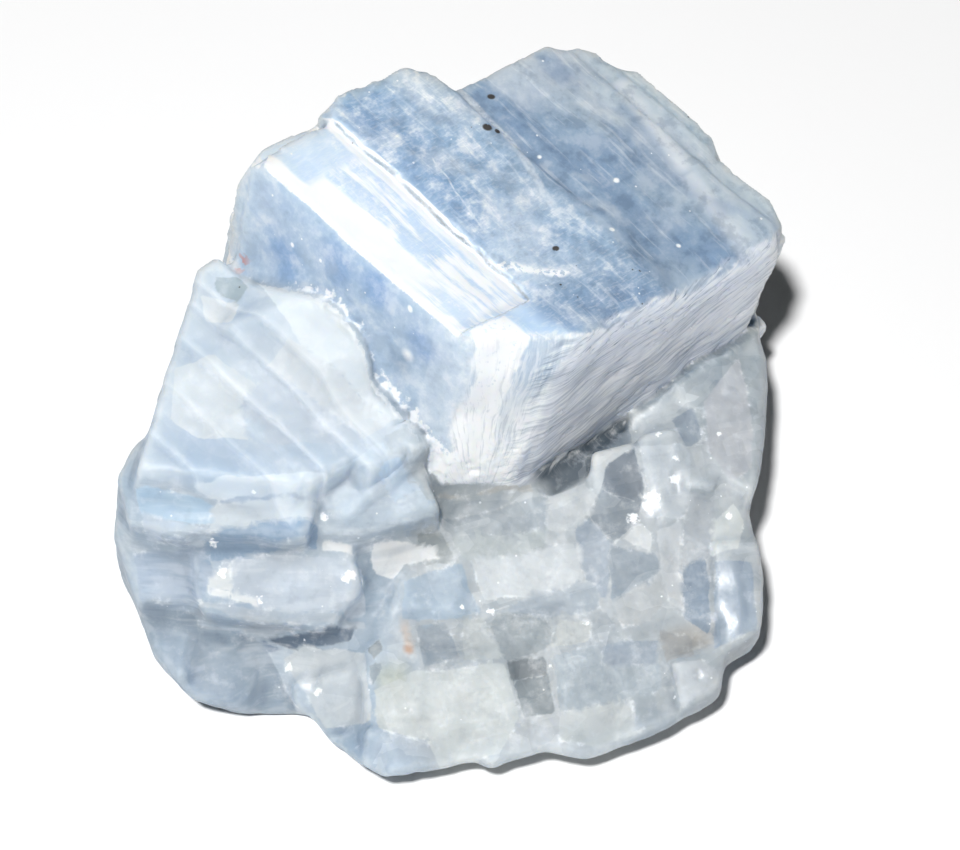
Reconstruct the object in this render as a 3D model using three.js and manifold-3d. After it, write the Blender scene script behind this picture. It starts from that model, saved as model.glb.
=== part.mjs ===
// Blue calcite specimen: one hand-sized, naturally broken piece of intergrown calcite.
// A cleavage rhomb, the crown, stands on a skirt of rounded grains and stepped plates.
// Units are millimetres and +Z is up. The stone rests on the flat break at z = 0.

import * as THREE from 'three';
import { mergeVertices } from 'three/addons/utils/BufferGeometryUtils.js';
import Module from 'manifold-3d';

const wasm = await Module();
wasm.setup();

// ---------------------------------------------------------------- driving dimensions

const CLEAVAGE_ANGLE = 101.9;     // degrees between the edges of a calcite rhomb
const CROWN_LENGTH = 31.2;        // along the crown's long edges
const CROWN_WIDTH = 35;           // across the crown
const CROWN_FOOT = 21;            // the crown's sides run this far down, into the skirt
const CROWN_CORNER = new THREE.Vector3(5, -5.3, 28.2);   // where the unbroken front corner would be

const SKIRT_TOP = 12.6;           // the skirt is level from here up, near the crown
const LEFT_TOP = 16.6;            // and higher on the left
const LEFT_HEIGHT = 22.8;         // height of the left slope's plane over the middle of the stone
const LEFT_SLOPE = 1;             // and its rise towards the back
const RIGHT_HEIGHT = 14.4;        // the same for the right slope
const RIGHT_SLOPE = 0.35;
const LEFT_EDGE = -15;            // the left slope blends into the right one between these
const RIGHT_EDGE = -5;
const RIM_HEIGHT = 4;             // the stone is widest here, above the surface it rests on
const UNDERCUT = 0.15;            // the sides draw in below the rim by this share of the radius
const DEEPEST_UNDERCUT = -20;     // the bearing where they draw in most, in degrees
const BEYOND = 60;                // longer than the stone in any direction
const OVERLAP = 0.08;             // joined pieces grow this far into each other
const BED_DEPTH = 0.25;           // the bed between grains lies this far below their tops
const BED_FLOOR = 0.5;            // and never lower than this above the resting face
const STEEPEST_FALL = 0.25;       // a grain's top follows the skirt's fall to the side up to this

// ---------------------------------------------------------------- crystal axes

// A direction from its bearing, from +X towards +Y, and its rise, both in degrees.
function direction(bearing, rise) {
  const turn = THREE.MathUtils.degToRad(bearing);
  const lift = THREE.MathUtils.degToRad(rise);
  const level = Math.cos(lift);
  return new THREE.Vector3(level * Math.cos(turn), level * Math.sin(turn), Math.sin(lift));
}

// The third edge of a rhomb makes the cleavage angle with the first two.
function thirdEdge(first, second) {
  const cosine = Math.cos(THREE.MathUtils.degToRad(CLEAVAGE_ANGLE));
  const inPlane = first.clone().add(second).multiplyScalar(cosine / (1 + first.dot(second)));
  const normal = first.clone().cross(second).normalize();
  return inPlane.addScaledVector(normal, Math.sqrt(1 - inPlane.lengthSq()));
}

const ALONG = direction(137.3, 9.9);      // the crown's long edges, to the left and back
const ACROSS = direction(36.6, -9.2);     // its other top edges, to the right and back
const DOWN = thirdEdge(ALONG, ACROSS);

// ---------------------------------------------------------------- solids

// A closed three.js geometry as a manifold solid.
function solidOf(geometry) {
  geometry.deleteAttribute('normal');
  geometry.deleteAttribute('uv');
  const merged = mergeVertices(geometry, 1e-4);
  const vertProperties = new Float32Array(merged.attributes.position.array);
  const triVerts = new Uint32Array(merged.index.array);
  return new wasm.Manifold(new wasm.Mesh({ numProp: 3, vertProperties, triVerts }));
}

// A manifold solid as a three.js geometry.
function geometryOf(solid) {
  const mesh = solid.getMesh();
  const geometry = new THREE.BufferGeometry();
  geometry.setAttribute('position', new THREE.BufferAttribute(mesh.vertProperties, 3));
  geometry.setIndex(new THREE.BufferAttribute(mesh.triVerts, 1));
  geometry.computeVertexNormals();
  return geometry;
}

function join(solids) {
  return solids.reduce((whole, solid) => whole.add(solid));
}

// A block with faces on the three cleavages. Its ranges are measured from the crown's
// corner: along, across and down.
function cleavageBlock([a0, a1], [b0, b1], [c0, c1]) {
  const geometry = new THREE.BoxGeometry(a1 - a0, b1 - b0, c1 - c0);
  geometry.translate((a0 + a1) / 2, (b0 + b1) / 2, (c0 + c1) / 2);
  geometry.applyMatrix4(new THREE.Matrix4().makeBasis(ALONG, ACROSS, DOWN).setPosition(CROWN_CORNER));
  return solidOf(geometry);
}

// A point in the crown's own measures: along, across and down.
function crownPoint(a, b, c) {
  const point = CROWN_CORNER.clone().addScaledVector(ALONG, a);
  return point.addScaledVector(ACROSS, b).addScaledVector(DOWN, c);
}

// Everything in front of a plane through a point, on the side that its normal faces.
function beyondFace(point, normal) {
  const up = new THREE.Vector3(0, 0, 1);
  const geometry = new THREE.BoxGeometry(BEYOND, BEYOND, BEYOND).translate(0, 0, BEYOND / 2);
  geometry.applyQuaternion(new THREE.Quaternion().setFromUnitVectors(up, normal));
  geometry.translate(point.x, point.y, point.z);
  return solidOf(geometry);
}

// Everything on the far side of the plane through three points, seen from the kept point.
function beyondPlane(p, q, r, kept) {
  const plane = new THREE.Plane().setFromCoplanarPoints(p, q, r);
  if (plane.distanceToPoint(kept) > 0) plane.negate();
  return beyondFace(p, plane.normal);
}

// An upright prism whose top follows a height function.
function prism(outline, floor, topAt) {
  const shape = new THREE.Shape(outline.map(([x, y]) => new THREE.Vector2(x, y)));
  const geometry = new THREE.ExtrudeGeometry(shape, { depth: 1, bevelEnabled: false });
  const position = geometry.attributes.position;
  for (let i = 0; i < position.count; i += 1) {
    const top = topAt(position.getX(i), position.getY(i));
    position.setZ(i, position.getZ(i) > 0.5 ? top : floor);
  }
  return solidOf(geometry);
}

// A repeatable spread of values between -1 and 1, one for each whole number.
function spread(n) {
  const s = Math.sin(n * 12.9898 + 4.1414) * 43758.5453;
  return 2 * (s - Math.floor(s)) - 1;
}

// ---------------------------------------------------------------- crown

// The crown's top is one cleavage face in strips. The left strip is a ledge that lies a
// little lower, and the strips at the right and at the back step down.
function crown() {
  const strips = [
    cleavageBlock([5.5, 29.6], [0, 8], [0.7, CROWN_FOOT]),
    cleavageBlock([0, CROWN_LENGTH], [7.6, 18.6], [0, CROWN_FOOT]),
    cleavageBlock([0, 6], [0, 9], [0, CROWN_FOOT]),
    cleavageBlock([0, 27.3], [18, 31], [0.45, CROWN_FOOT]),
    cleavageBlock([1.3, 26.8], [28.5, 33.4], [0.9, CROWN_FOOT]),
    cleavageBlock([10.6, 25], [31.5, CROWN_WIDTH], [1.3, CROWN_FOOT]),
    cleavageBlock([29, CROWN_LENGTH], [0.4, 8], [2.2, CROWN_FOOT]),
  ];
  return join(strips);
}

// Breaks in the crown: its front corner, its far corner and both ends of its left edge.
function crownBreaks() {
  const middle = crownPoint(CROWN_LENGTH / 2, CROWN_WIDTH / 2, CROWN_FOOT / 2);
  const breaks = [
    [[4.5, 0, 4.5], [4.2, 0, 16], [0, 6.2, 16]],
    [[5.4, 0, 0.7], [0, 8.8, 0], [0, 6.2, 4.5]],
    [[23.4, CROWN_WIDTH, 0], [22.6, CROWN_WIDTH, 18], [27, 31.4, 0]],
    [[31.2, 4, 0.6], [29.2, 0, 0], [31.8, 0, 8]],
  ];
  return join(breaks.map((points) => {
    const corners = points.map((point) => crownPoint(...point));
    return beyondPlane(...corners, middle);
  }));
}

// A slot under the crown's right side, where it has parted from the skirt.
function crownSlot() {
  return cleavageBlock([-2.4, 2], [7, 18], [14.9, 16]);
}

// Lower cleavage plates step out behind the crown and carry its overhanging back. Each row is
// the plate's range along, across and down.
const BACK_PLATES = [
  [[26, 34], [3, 13], [12, 31]],
  [[25, 32.5], [12, 21], [15.5, 33]],
  [[18, 30], [20, 32], [9, 33]],
  [[12, 26], [27, 37], [14, 32]],
  [[4, 15], [27, 38.5], [17.5, 33]],
  [[1, 8], [26, 35], [13.5, 33]],
];

// ---------------------------------------------------------------- stepped shoulder

// Thin cleavage plates form a panel that falls away to the left of the crown. Each row is one
// plate: its range along, its front and back edge across, and its depth below the first one.
const THIN_PLATES = [
  [[5.5, 29.4], [-1.8, 2], 0],
  [[6.5, 30.2], [-5.3, -1], 0.1],
  [[14, 30.6], [-8, -4], 0.25],
  [[8.5, 17.5], [-9.8, -4], 0.35],
  [[9, 30], [-15.2, -7], 0.5],
  [[7, 25], [-19, -14], 0.7],
];
const PANEL_DEPTH = 11.6;         // the panel's depth below the crown's top, beside the crown
const PANEL_FALL = 0.2;           // and how much deeper it is for each mm away from it

const SHOULDER_MIDDLE = new THREE.Vector3(-16, -3, 15);

// The first plate rises in a slope against the crown's left side, broken off at both ends.
function slope() {
  const block = cleavageBlock([12, 28.5], [-5.6, 0.5], [6.4, 14]);
  const middle = crownPoint(18, -1, 13);
  return block.subtract(join([
    beyondPlane(crownPoint(14.4, 0, 6.9), crownPoint(19.6, 0, 6.7), crownPoint(17, -5.4, 12.5), middle),
    beyondPlane(crownPoint(12.2, 0, 11), crownPoint(14.8, 0, 6.9), crownPoint(13.8, -5, 12.2), middle),
    beyondPlane(crownPoint(19.4, 0, 6.7), crownPoint(28.3, 0, 13.2), crownPoint(24.5, -5, 12.4), middle),
  ]));
}

// The shoulder is broken off steeply at the left and in front.
function shoulder() {
  const plates = THIN_PLATES.map(([along, across, below]) => {
    const onTop = (a, b) => crownPoint(a, b, PANEL_DEPTH - PANEL_FALL * b + below);
    const block = cleavageBlock(along, across, [PANEL_DEPTH - 2, 24]);
    return block.subtract(beyondPlane(onTop(0, 0), onTop(20, 0), onTop(0, -20), SHOULDER_MIDDLE));
  });
  const sides = [
    [[-23.4, 4.3, 20.6], [-26, -8.5, 21.4], [-29.7, -9, 8]],
    [[-26, -8, 20.5], [-12, -10.2, 17.8], [-18, -10.4, 16.8]],
    [[-21.4, 11.5, 20], [-23.4, 4.3, 20.6], [-24.2, 6, 8]],
  ];
  return sides.reduce((solid, corners) => {
    const points = corners.map((corner) => new THREE.Vector3(...corner));
    return solid.subtract(beyondPlane(...points, SHOULDER_MIDDLE));
  }, join([...plates, slope()]));
}

// ---------------------------------------------------------------- skirt of grains

// The skirt's mean height: steep on the left, a long slope on the right, level near the crown.
function skirtHeight(x, y) {
  const share = THREE.MathUtils.smoothstep(x, LEFT_EDGE, RIGHT_EDGE);
  const slope = THREE.MathUtils.lerp(LEFT_HEIGHT + LEFT_SLOPE * y, RIGHT_HEIGHT + RIGHT_SLOPE * y, share);
  return Math.min(slope, THREE.MathUtils.lerp(LEFT_TOP, SKIRT_TOP, share));
}

// Grains of the skirt: centre x and y, length, width, turn in degrees, how far the grain
// stands above the mean height, and the tilt of its top in x and y, as rise over run.
const GRAINS = [
  // under the broken corner and along the crown's right side
  [3.8, -9.4, 9.4, 5.2, 10, 0.1, 0.01, 0.06],
  [10.3, -8.6, 4.0, 4.0, -15, 0.35, -0.12, -0.08],
  [8.6, -5.0, 5.0, 3.0, 35, -0.9, 0, 0.1],
  [13.8, -1.6, 7.0, 3.4, 36, -1.6, -0.05, 0],
  [14.9, -6.8, 4.2, 7.8, 14, 0.1, -0.19, 0.09],
  [16.6, -10.6, 4.0, 2.6, -20, 0.15, 0.06, -0.09],
  [19.0, -5.6, 3.8, 8.0, 12, 0.2, -0.13, 0.03],
  [18.8, 0.4, 4.4, 3.8, 32, -0.15, -0.03, 0.06],
  [22.2, -2.6, 3.0, 8.5, -12, 0.2, -0.12, 0],
  [22.8, 3.4, 3.4, 6.0, -28, 0.4, -0.09, 0.06],
  [25.2, -0.8, 3.0, 10.0, -14, 0.1, -0.18, 0.03],
  [26.4, 6.0, 3.4, 8.0, -10, 0.05, -0.18, -0.03],
  [27.6, -4.0, 2.6, 9.0, -6, -0.25, -0.24, 0.03],
  // the middle of the right slope
  [23.9, -10.4, 3.6, 5.0, 20, 0.25, -0.06, -0.06],
  [25.4, -15.4, 4.4, 8.2, 4, 0.6, -0.2, 0.08],
  [21.5, -14.2, 2.8, 7.4, -2, 0.05, 0.09, 0],
  [16.8, -16.3, 5.6, 4.6, 25, 0.2, -0.03, -0.03],
  [15.4, -12.5, 4.8, 3.4, -10, 0.05, -0.03, 0.06],
  [11.6, -13.4, 4.6, 6.2, 5, 0.1, -0.09, 0],
  [6.2, -14.2, 8.6, 5.4, 12, 0.25, 0, -0.05],
  [5.4, -18.2, 6.0, 3.2, 8, 0.1, 0.03, 0.03],
  [10.8, -18.2, 5.0, 3.6, 16, 0.15, 0.03, -0.06],
  [20.6, -19.0, 3.6, 3.0, 10, -0.25, -0.06, 0.06],
  // the foot of the right slope
  [7.1, -22.8, 3.2, 5.4, -8, -0.2, -0.09, -0.06],
  [0.9, -23.4, 9.4, 6.6, 6, 0.3, -0.02, 0],
  [-4.9, -22.8, 5.0, 6.4, -5, 0.25, 0.06, 0.03],
  [12.4, -22.4, 7.0, 6.6, 4, 0.2, 0, 0.01],
  [17.4, -21.4, 5.4, 5.4, 0, 0.2, -0.05, 0],
  [21.8, -22.3, 5.0, 4.6, 20, 0.6, -0.15, -0.06],
  [16.4, -25.2, 6.0, 2.8, 17, 0.05, 0.03, 0.06],
  [10.4, -27.2, 6.0, 3.4, 10, 0.05, -0.03, 0.06],
  [4.0, -28.2, 5.4, 3.4, 18, 0.05, 0.03, -0.03],
  [-3.6, -28.2, 8.0, 3.6, 0, 0.1, 0, 0.03],
  // left of the middle
  [-1.8, -15.8, 6.2, 3.8, 8, 0.25, 0.03, 0.06],
  [-4.2, -13.2, 6.0, 3.0, -12, 0.2, -0.06, 0.12],
  [-2.0, -19.0, 5.4, 3.8, -5, -0.05, -0.06, 0.06],
  [-6.6, -18.6, 3.8, 3.6, 10, 0, 0.09, 0.06],
  [-12.0, -20.4, 7.0, 3.6, 14, 1.2, 0.05, 0.25],
  [-9.8, -24.0, 7.4, 5.6, 8, 0.9, 0.05, 0.1],
  [-8.0, -28.0, 7.0, 3.4, -4, 0.2, 0, 0.06],
  [-13.4, -24.2, 3.2, 5.4, -14, 0.5, 0.2, 0],
  [-9.2, -15.4, 4.0, 4.0, 0, -0.15, 0, 0.06],
  // the left foot: long smooth faces
  [-18.0, -14.6, 8.0, 6.0, 0, -0.4, 0.0, 0.0],
  [-24.6, -13.4, 8.0, 7.0, -6, 0.2, 0.1, -0.05],
  [-19.6, -20.8, 11.0, 8.0, -4, 0.6, 0.03, 0.0],
  [-25.6, -19.6, 6.0, 8.0, -12, 0.4, 0.15, 0.0],
  [-15.0, -9.0, 8.0, 5.0, 0, -0.5, 0.0, -0.7],
  [-24.0, -7.0, 8.0, 5.0, 0, 0.0, 0.0, -0.7],
];

// Coarse grains fill the stone under the crown and the shoulder, and show at the back.
// Each row is a grain's centre.
const COARSE_GRAINS = [
  [-12, 4], [-22, 3], [0, 4], [12, 6], [-18, 13], [-6, 15], [6, 16], [18, 14], [26, 14],
  [-12, 21], [-2, 25], [8, 27], [17, 24], [23, 20],
];

// A row like those of GRAINS, with a repeatable size, turn, height and tilt.
function coarseGrain([x, y], i) {
  const size = 8 + 2 * spread(i + 20);
  const turn = 40 * spread(i + 70);
  const raise = -1.2 + spread(i);
  const tilt = [0.15 * spread(i + 50), 0.15 * spread(i + 90)];
  return [x, y, size, size - 1, turn, raise, ...tilt];
}

// The part of a convex outline on the near side of the line halfway between two centres.
function nearer(outline, [cx, cy], [ox, oy]) {
  const dx = ox - cx;
  const dy = oy - cy;
  const reach = (dx * dx + dy * dy) / 2 + OVERLAP * Math.hypot(dx, dy);
  const side = outline.map(([x, y]) => (x - cx) * dx + (y - cy) * dy - reach);
  const kept = [];
  outline.forEach((point, i) => {
    const next = (i + 1) % outline.length;
    if (side[i] <= 0) kept.push(point);
    if (side[i] * side[next] < 0) {
      const t = side[i] / (side[i] - side[next]);
      kept.push([0, 1].map((k) => point[k] + t * (outline[next][k] - point[k])));
    }
  });
  return kept;
}

// A turned rectangle in plan.
function rectangle(x, y, length, width, turn) {
  const centre = new THREE.Vector2(x, y);
  const angle = THREE.MathUtils.degToRad(turn);
  const corners = [[-1, -1], [1, -1], [1, 1], [-1, 1]];
  return corners.map(([i, j]) => {
    const corner = new THREE.Vector2(x + (i * length) / 2, y + (j * width) / 2);
    return corner.rotateAround(centre, angle).toArray();
  });
}

// Each grain is a block in a bed that reaches halfway to its neighbours.
function grainSolid(grain, grains) {
  const [x0, y0, length, width, turn, raise, tiltX, tiltY] = grain;
  const fallX = (skirtHeight(x0 + 1, y0) - skirtHeight(x0 - 1, y0)) / 2;
  const fallY = (skirtHeight(x0, y0 + 1) - skirtHeight(x0, y0 - 1)) / 2;
  const slopeX = tiltX + THREE.MathUtils.clamp(fallX, -STEEPEST_FALL, STEEPEST_FALL);
  const slopeY = tiltY + fallY;
  const top = (x, y) => skirtHeight(x0, y0) + raise + slopeX * (x - x0) + slopeY * (y - y0);
  const blockTop = (x, y) => Math.max(top(x, y), BED_FLOOR);
  const bedTop = (x, y) => Math.max(top(x, y) - BED_DEPTH, BED_FLOOR);
  const field = [[-BEYOND, -BEYOND], [BEYOND, -BEYOND], [BEYOND, BEYOND], [-BEYOND, BEYOND]];
  const others = grains.filter((other) => other !== grain);
  const cell = others.reduce((outline, other) => nearer(outline, grain, other), field);
  const block = prism(rectangle(x0, y0, length, width, turn), -1, blockTop);
  return block.add(prism(cell, -1, bedTop));
}

function skirt() {
  const grains = [...GRAINS, ...COARSE_GRAINS.map(coarseGrain)];
  return join(grains.map((grain) => grainSolid(grain, grains)));
}

// ---------------------------------------------------------------- plates

// Long plates that lie in front of the shoulder. Each has a plan outline, the height of its
// underside, the height of its top at the front, and the rise of its top towards the back.
const PLATES = [
  {
    name: 'upper plate',
    outline: [
      [-29, -8], [-28, -12], [-23.5, -13], [-21.5, -12.6], [-12, -13], [-11.2, -6], [-20, -4],
      [-27, -5],
    ],
    underside: 8.4,
    front: 15.4,
    slope: 0.42,
  },
  {
    name: 'lower plate',
    outline: [
      [-22.5, -15.2], [-21.5, -17.6], [-16, -18.2], [-10, -18.4], [-7.6, -15.5], [-8.6, -12], [-15, -12],
      [-22.6, -11.8],
    ],
    underside: 3.6,
    front: 9,
    slope: 0.65,
  },
  {
    name: 'raised block beside the upper plate',
    outline: [
      [-11.6, -9.6], [-11.2, -12.2], [-8, -12.4], [-3, -11.2], [-0.8, -10.4], [-2.2, -7], [-5, -5],
      [-9.6, -6],
    ],
    underside: 9,
    front: 14.2,
    slope: 0.45,
  },
  {
    name: 'block at the left end',
    outline: [[-29.6, -11], [-28.4, -16.2], [-22, -16.6], [-21.2, -11.8], [-25, -10], [-29, -9]],
    underside: 6,
    front: 9.4,
    slope: 0.6,
  },
  {
    name: 'blue block in the middle',
    outline: [[-5.2, -14.2], [-5, -17.2], [0.8, -16.8], [1.6, -13.6], [-0.6, -12.8], [-4, -13.4]],
    underside: 4,
    front: 8.9,
    slope: 0.3,
  },
];

function plates() {
  return join(PLATES.map(({ outline, underside, front, slope }) => {
    const frontY = Math.min(...outline.map((point) => point[1]));
    return prism(outline, underside, (x, y) => front + slope * (y - frontY));
  }));
}

// ---------------------------------------------------------------- whole stone

// Plan outline of the stone at its widest, anticlockwise from the front.
const OUTLINE = [
  [3.4, -30], [8, -28.4], [11.5, -29], [18.5, -26], [23.2, -23.2], [23.6, -20.4], [27, -18.4],
  [27.6, -14], [26.2, -8.5], [27.6, -3], [28.6, 5], [28, 11], [26.5, 17], [20.5, 23.5], [14.5, 28],
  [7.5, 31], [1, 29], [-5, 25.5], [-13, 20], [-19.5, 14.5], [-22, 10], [-24.4, 4], [-26, -2],
  [-29, -7], [-29.6, -11], [-27.8, -15], [-26, -19.5], [-22.6, -23.2], [-19, -24.4], [-13.3, -24.6],
  [-11.2, -27.6], [-6, -30.6], [-1, -29.8], [2.2, -29],
];

// The space the skirt may fill: upright above the rim and drawn in below it.
function envelope() {
  const shape = new THREE.Shape(OUTLINE.map(([x, y]) => new THREE.Vector2(x, y)));
  const geometry = new THREE.ExtrudeGeometry(shape, { depth: 2, steps: 2, bevelEnabled: false });
  const heights = [0, RIM_HEIGHT, BEYOND];
  const position = geometry.attributes.position;
  for (let i = 0; i < position.count; i += 1) {
    const level = Math.round(position.getZ(i));
    const bearing = Math.atan2(position.getY(i), position.getX(i));
    const share = 0.55 + 0.45 * Math.cos(bearing - THREE.MathUtils.degToRad(DEEPEST_UNDERCUT));
    const keep = level === 0 ? 1 - UNDERCUT * share : 1;
    position.setXYZ(i, position.getX(i) * keep, position.getY(i) * keep, heights[level]);
  }
  return solidOf(geometry);
}

// Flat breaks on the stone's right side and back. Each row is a point on the break, and the
// bearing and rise, in degrees, that it faces.
const FLANK_BREAKS = [
  [[26, 6, 5], 2, -24],
  [[22, 20.5, 8], 38, 12],
  [[11, 28, 4], 68, -26],
  [[-3, 25.5, 7], 118, 16],
  [[-15, 17.2, 4], 132, -22],
  [[-22.5, 7.5, 6], 152, -12],
];

function flankBreaks() {
  return join(FLANK_BREAKS.map(([point, bearing, rise]) => (
    beyondFace(new THREE.Vector3(...point), direction(bearing, rise))
  )));
}

function stone() {
  const ground = beyondFace(new THREE.Vector3(), new THREE.Vector3(0, 0, -1));
  const foot = join([skirt(), plates()]).intersect(envelope()).subtract(flankBreaks());
  const top = crown().subtract(crownBreaks());
  const back = BACK_PLATES.map((ranges) => cleavageBlock(...ranges));
  return join([foot, shoulder(), top, ...back]).subtract(crownSlot()).subtract(ground);
}

const specimen = new THREE.Group();
const calcite = new THREE.Mesh(
  geometryOf(stone()),
  new THREE.MeshStandardMaterial({ color: 0xb4cbe0, roughness: 0.28, metalness: 0, flatShading: true }),
);
calcite.name = 'calcite_stone';
specimen.add(calcite);

export default specimen;
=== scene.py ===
"""Looks of the blue calcite specimen, built round its CAD solid.

The CAD solid becomes a level set. Its grains and plates are melted round, its crown stays
crisp, and the surface gets the breaks, steps and striations of real calcite.
Lengths are in millimetres until the mesh is made, which is in metres.
"""

import math

import bpy
import numpy as np
import openvdb as vdb
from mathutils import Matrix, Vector


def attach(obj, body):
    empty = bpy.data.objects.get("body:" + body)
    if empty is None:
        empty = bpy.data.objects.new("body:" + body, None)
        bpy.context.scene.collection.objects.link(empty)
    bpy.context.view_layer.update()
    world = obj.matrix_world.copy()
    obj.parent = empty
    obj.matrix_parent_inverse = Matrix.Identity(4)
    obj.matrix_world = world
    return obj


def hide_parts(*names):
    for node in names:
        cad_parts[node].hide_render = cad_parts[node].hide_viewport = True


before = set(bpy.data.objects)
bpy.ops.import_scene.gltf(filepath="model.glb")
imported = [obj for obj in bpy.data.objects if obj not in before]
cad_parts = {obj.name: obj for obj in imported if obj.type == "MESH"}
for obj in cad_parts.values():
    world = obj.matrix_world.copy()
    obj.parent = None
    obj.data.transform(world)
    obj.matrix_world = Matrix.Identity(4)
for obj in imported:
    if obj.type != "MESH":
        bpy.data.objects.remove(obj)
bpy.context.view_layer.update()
scene = bpy.context.scene

NODE = "calcite_stone"
MM = 0.001
VOXEL = 0.22
BAND = 8
TRIANGLES = 190000
SHARP_EDGE = 0.16      # what blurring raises a sharp outer edge by, in mm
BLURS = (0.7, 1.8, 4.2, 7.5)  # of the crisp, rounded, worn and flowing surface, in voxels
CREASE_DEPTH = 0.10    # how deep a crease may be below the skirt's flowing surface, in mm
GAP_DEPTH = 0.30       # how much deeper the gaps between the long plates may be, in mm
OPEN_GAPS = 0.08       # how far those gaps stay open below the worn surface, in mm
GROOVE_DEPTH = 0.06    # how deep a groove beside the crown may be, in mm
FACE_PULL = 0.6        # how far a glossy face is drawn towards its plane, as a share

# The crown's corner, as in the CAD. ALONG, ACROSS and DOWN are the unit edges that meet there.
CORNER = np.array([5.0, -5.3, 28.2])
CLEAVAGE_ANGLE = math.radians(101.9)


def direction(bearing, rise):
    turn, lift = math.radians(bearing), math.radians(rise)
    level = math.cos(lift)
    return np.array([level * math.cos(turn), level * math.sin(turn), math.sin(lift)])


ALONG = direction(137.3, 9.9)
ACROSS = direction(36.6, -9.2)


def square_to(first, second):
    normal = np.cross(first, second)
    return normal / np.linalg.norm(normal)


def third_edge(first, second):
    in_plane = (first + second) * math.cos(CLEAVAGE_ANGLE) / (1 + first @ second)
    return in_plane + square_to(first, second) * math.sqrt(1 - in_plane @ in_plane)


DOWN = third_edge(ALONG, ACROSS)
TO_CRYSTAL = np.linalg.inv(np.stack([ALONG, ACROSS, DOWN], 1))


def outward(first, second, inward):
    """The unit normal of the face that two edges span, pointing away from the third edge."""
    normal = square_to(first, second)
    return -normal if normal @ inward > 0 else normal


TOP_NORMAL = outward(ALONG, ACROSS, DOWN)
LEFT_NORMAL = outward(ALONG, DOWN, ACROSS)
RIGHT_NORMAL = outward(ACROSS, DOWN, ALONG)


def crystal(points):
    """Along, across and down from the crown's corner, for an array of points."""
    return (points - CORNER) @ TO_CRYSTAL.T


def smooth(low, high, value):
    """Smoothly from 0 at low to 1 at high. Low may be above high."""
    t = np.clip((value - low) / (high - low), 0, 1)
    return t * t * (3 - 2 * t)


def span(low, high, edge, value):
    """1 between low and high, fading over edge at both ends."""
    return smooth(low - edge, low + edge, value) * smooth(high + edge, high - edge, value)


# ---------------- repeatable noise


def hashed(cells, seed):
    """A repeatable value between 0 and 1 for each whole-number cell."""
    x, y, z = cells.astype(np.int64).T
    h = (x * 73856093 ^ y * 19349663 ^ z * 83492791 ^ seed * 2654435761) & 0xFFFFFFFF
    h = ((h ^ (h >> 15)) * 2246822519) & 0xFFFFFFFF
    h = ((h ^ (h >> 13)) * 3266489917) & 0xFFFFFFFF
    return ((h ^ (h >> 16)) & 0xFFFFFF) / 0xFFFFFF


def noise(points, seed):
    """Smooth noise between -1 and 1, with features one unit across."""
    base = np.floor(points)
    t = points - base
    t = t * t * (3 - 2 * t)
    total = np.zeros(len(points))
    for corner in np.ndindex(2, 2, 2):
        weight = np.prod(np.where(corner, t, 1 - t), axis=1)
        total += weight * hashed(base + corner, seed)
    return 2 * total - 1


def fractal(points, seed, octaves=3, gain=0.5):
    total, scale, size = np.zeros(len(points)), 1.0, 0.0
    for octave in range(octaves):
        total += scale * noise(points * 2**octave, seed + octave)
        size += scale
        scale *= gain
    return total / size


def pillows(points, seed, tilt=0.35, crown=0.8):
    """Rounded grains, one for each unit cell, that meet in shallow creases."""
    base = np.floor(points)
    height = np.full(len(points), -1e9)
    for step in np.ndindex(3, 3, 3):
        cell = base + np.array(step) - 1
        centre = cell + np.stack([hashed(cell, seed + k) for k in range(3)], 1)
        slope = np.stack([hashed(cell, seed + 10 + k) for k in range(3)], 1) * 2 - 1
        offset = points - centre
        here = 0.6 * hashed(cell, seed + 20) + tilt * (offset * slope).sum(1)
        height = np.maximum(height, here - crown * (offset**2).sum(1))
    return height


# ---------------- the CAD solid as a level set


def array_of(items, field, kind=np.float32):
    """Three numbers for each vertex, normal or triangle."""
    values = np.zeros(len(items) * 3, kind)
    items.foreach_get(field, values)
    return values.reshape(-1, 3)


def cad_surface():
    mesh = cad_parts[NODE].data
    mesh.calc_loop_triangles()
    return array_of(mesh.vertices, "co") / MM, array_of(mesh.loop_triangles, "vertices", np.int32)


def blurred(field, spread):
    """Gaussian blur of a field, spread in voxels."""
    reach = int(math.ceil(2.5 * spread))
    taps = np.exp(-0.5 * (np.arange(-reach, reach + 1) / spread) ** 2)
    taps = (taps / taps.sum()).astype(np.float32)
    for axis in range(3):
        padding = [(reach, reach) if k == axis else (0, 0) for k in range(3)]
        padded = np.pad(field, padding, mode="edge")
        length = field.shape[axis]
        total = np.zeros_like(field)
        for i, tap in enumerate(taps):
            window = [slice(i, i + length) if k == axis else slice(None) for k in range(3)]
            total += tap * padded[tuple(window)]
        field = total
    return field


def crisp_share(points):
    """1 on the crown and its shoulder of thin plates, 0 on the melted skirt."""
    a, b, c = crystal(points).T
    crown = smooth(-1.2, -0.2, a) * smooth(-1.0, 0.0, b) * smooth(15.4, 14.2, c)
    shoulder = smooth(5, 7, a) * smooth(-19, -17.5, b) * smooth(17, 15.6, c) * smooth(1, 0, b)
    front = smooth(-10.5, -9.0, points[:, 1] + 0.12 * (points[:, 0] + 18))
    return np.maximum(crown, shoulder * front)


# Corners of the crown that are worn round: along, across, depth and radius of the wear, in mm.
WORN_CORNERS = [
    (31.2, 7.6, 0.0, 1.6), (31.2, 18.6, 0.0, 1.6), (27.3, 31.2, 0.5, 1.8), (23.4, 35.0, 1.3, 2.0),
    (10.6, 35.0, 1.3, 1.8), (1.3, 33.4, 0.9, 2.6), (0.0, 31.0, 0.5, 2.0), (29.6, 0.0, 0.7, 1.2),
    (14.6, -0.3, 7.0, 1.6), (19.5, -0.3, 6.8, 1.8), (0.0, 6.2, 4.5, 1.6),
]


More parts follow.
